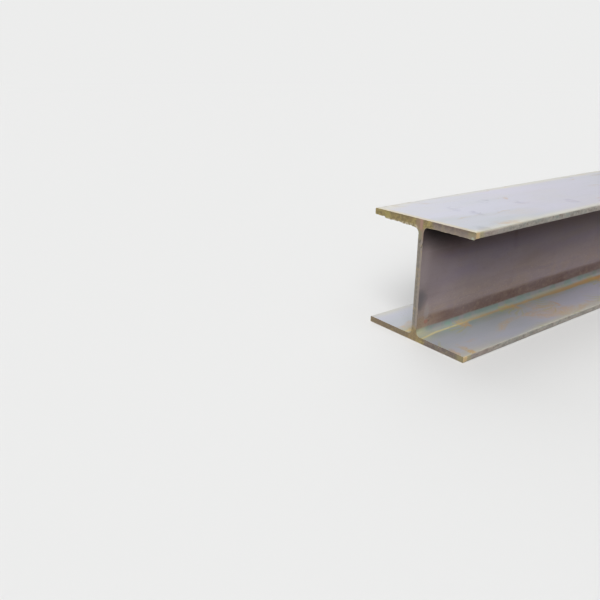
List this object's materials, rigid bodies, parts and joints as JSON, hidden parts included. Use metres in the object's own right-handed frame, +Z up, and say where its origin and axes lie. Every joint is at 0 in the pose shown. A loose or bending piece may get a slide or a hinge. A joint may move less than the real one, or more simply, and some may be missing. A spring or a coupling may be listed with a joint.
{
  "type": "steel h-beam",
  "caption": "Hot rolled wide flange steel beam of H section, square cut at both ends, with mill scale and light rust.",
  "frame": {"origin": "under the middle of the beam, at the centre of the lower flange's outer face", "axes": "+X along the beam, +Z up from the lower flange to the upper one, +Y across the flanges"},
  "size_m": [6, 0.305, 0.3],
  "materials": {
    "rolled_steel": "mill scale with light rust"
  },
  "bodies": {
    "root": {"h_beam": "rolled_steel"}
  },
  "joints": []
}
